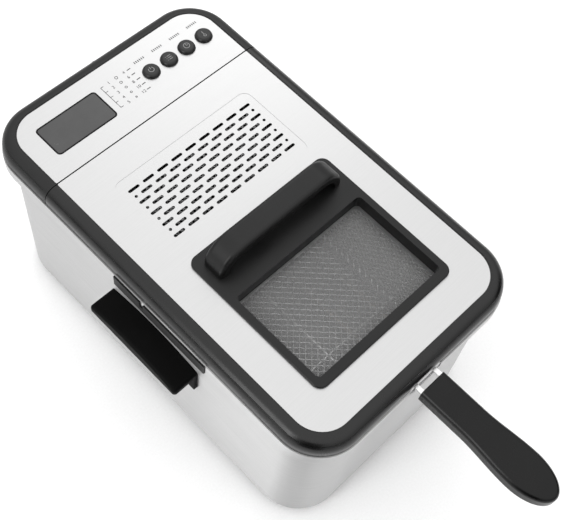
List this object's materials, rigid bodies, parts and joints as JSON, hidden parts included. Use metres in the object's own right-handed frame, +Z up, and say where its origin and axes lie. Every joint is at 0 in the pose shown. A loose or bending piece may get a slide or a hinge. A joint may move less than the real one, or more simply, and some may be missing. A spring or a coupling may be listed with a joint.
{
  "type": "deep fryer",
  "caption": "Rectangular steel deep fryer with a lift-off windowed lid, a wire basket on a black grip and a digital control unit at the rear.",
  "frame": {"origin": "on the surface that the feet stand on, under the middle of the overall box", "axes": "+Z up, -Y towards the basket's grip (the front), +X to the right of the front"},
  "size_m": [0.2834, 0.5386, 0.228],
  "materials": {
    "brushed_steel_wall": "brushed",
    "brushed_steel_top": "fine brushed",
    "pot_steel": "satin",
    "black_plastic": "fine texture",
    "satin_black_plastic": "satin",
    "gloss_black_plastic": "semi-gloss",
    "button_plastic": null,
    "grip_plastic": "smooth",
    "switch_plastic": "moulded",
    "tinted_lens": "tinted, smooth",
    "lcd": "dark panel",
    "circuit_board": "solder mask",
    "relay_case": "moulded",
    "transformer_core": "varnished laminations",
    "rubber": "matt",
    "silicone": "matt",
    "plated_screw": "zinc plated",
    "element_steel": "heat-tinted",
    "glass": "clear",
    "filter_wire": "layered wire mesh",
    "basket_wire": "plated wire"
  },
  "bodies": {
    "housing": {"body_shell": "brushed_steel_wall", "rim_collar": "brushed_steel_wall", "base_plate": "black_plastic", "rubber_feet": "rubber", "foot_screws": "plated_screw", "base_screws": "plated_screw", "side_grip_left": "black_plastic", "side_grip_right": "black_plastic", "side_grip_screws": "plated_screw", "collar_insert_left": "black_plastic", "collar_insert_right": "black_plastic"},
    "pot": {"oil_pot": "pot_steel"},
    "control_unit": {"control_housing": "black_plastic", "control_cover": "satin_black_plastic", "control_plate": "brushed_steel_top", "display_window": "tinted_lens", "display_panel": "lcd", "display_board": "circuit_board", "button_switches": "switch_plastic", "power_board": "circuit_board", "relay": "relay_case", "transformer": "transformer_core", "safety_cutout": "switch_plastic", "terminal_block": "switch_plastic", "element_bracket": "pot_steel", "heating_element": "element_steel", "thermostat_sensor": "element_steel", "cord_gland": "black_plastic"},
    "power_key": {"button_power": "button_plastic"},
    "mode_key": {"button_mode": "button_plastic"},
    "time_key": {"button_time": "button_plastic"},
    "temperature_key": {"button_temperature": "button_plastic"},
    "lid": {"lid_frame": "gloss_black_plastic", "lid_plate": "brushed_steel_top", "window_bezel": "black_plastic", "lid_handle": "black_plastic", "window_glass": "glass", "window_gasket": "silicone", "lid_liner": "pot_steel", "filter_grille": "pot_steel", "grease_filter": "filter_wire", "lid_screws": "plated_screw", "lid_handle_screws": "plated_screw"},
    "basket": {"basket_mesh": "basket_wire", "basket_frame": "basket_wire", "handle_bracket": "basket_wire", "handle_wires": "basket_wire", "grip_lower": "grip_plastic", "grip_upper": "grip_plastic", "grip_screw": "plated_screw"}
  },
  "joints": [
    {"name": "lid_lift", "type": "slide", "parent": "housing", "child": "lid", "axis": [0, 0, 1], "range_m": [0, 0.32]},
    {"name": "basket_lift", "type": "slide", "parent": "housing", "child": "basket", "axis": [0, 0, 1], "range_m": [0, 0.192]},
    {"name": "control_unit_lift", "type": "slide", "parent": "housing", "child": "control_unit", "axis": [0, 0, 1], "range_m": [0, 0.128]},
    {"name": "pot_lift", "type": "slide", "parent": "housing", "child": "pot", "axis": [0, 0, 1], "range_m": [0, 0.064]},
    {"name": "press_power", "type": "slide", "parent": "control_unit", "child": "power_key", "axis": [0, 0, -1], "range_m": [0, 0.001], "stiffness_N_per_m": 800},
    {"name": "press_mode", "type": "slide", "parent": "control_unit", "child": "mode_key", "axis": [0, 0, -1], "range_m": [0, 0.001], "stiffness_N_per_m": 800},
    {"name": "press_time", "type": "slide", "parent": "control_unit", "child": "time_key", "axis": [0, 0, -1], "range_m": [0, 0.001], "stiffness_N_per_m": 800},
    {"name": "press_temperature", "type": "slide", "parent": "control_unit", "child": "temperature_key", "axis": [0, 0, -1], "range_m": [0, 0.001], "stiffness_N_per_m": 800}
  ],
  "couplings": [
    {"joint": "basket_lift", "follows": "lid_lift", "ratio": 0.6},
    {"joint": "control_unit_lift", "follows": "lid_lift", "ratio": 0.4},
    {"joint": "pot_lift", "follows": "lid_lift", "ratio": 0.2}
  ]
}
